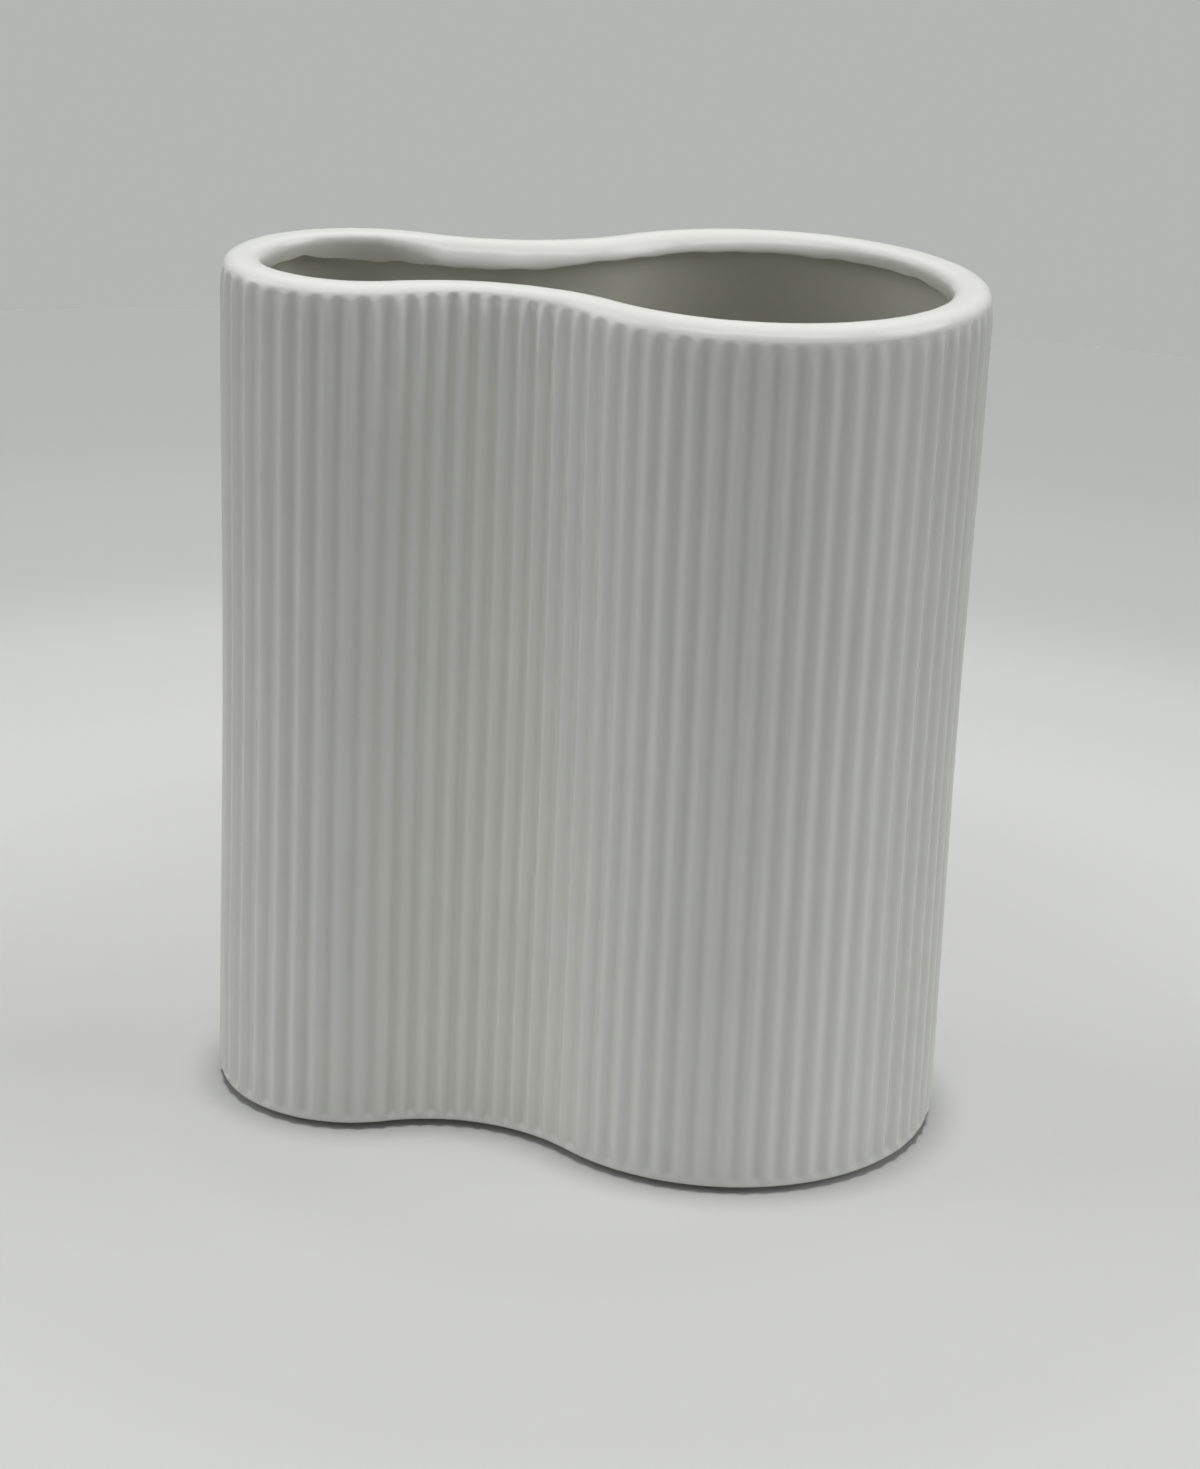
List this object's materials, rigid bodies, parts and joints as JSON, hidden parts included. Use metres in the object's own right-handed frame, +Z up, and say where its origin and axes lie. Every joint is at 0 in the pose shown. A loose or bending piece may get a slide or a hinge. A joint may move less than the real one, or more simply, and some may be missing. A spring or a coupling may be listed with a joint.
{
  "type": "vase",
  "caption": "Glazed ceramic flower vase with a two-lobed plan, straight walls with close vertical flutes all round, a thick smooth rounded lip that overhangs the inside, and a recessed foot ring.",
  "frame": {"origin": "on the ground, under the middle of the vase's length and width", "axes": "+Z up, +X from the small lobe to the big lobe, Y across the lobes"},
  "size_m": [0.1705, 0.101, 0.2],
  "materials": {
    "white_glaze": "white glaze, glossy",
    "bare_clay": "unglazed fired clay, ground flat"
  },
  "bodies": {
    "root": {"rim_lip": "white_glaze", "fluted_wall": "white_glaze", "base": "white_glaze", "foot_ring": "bare_clay"}
  },
  "joints": []
}
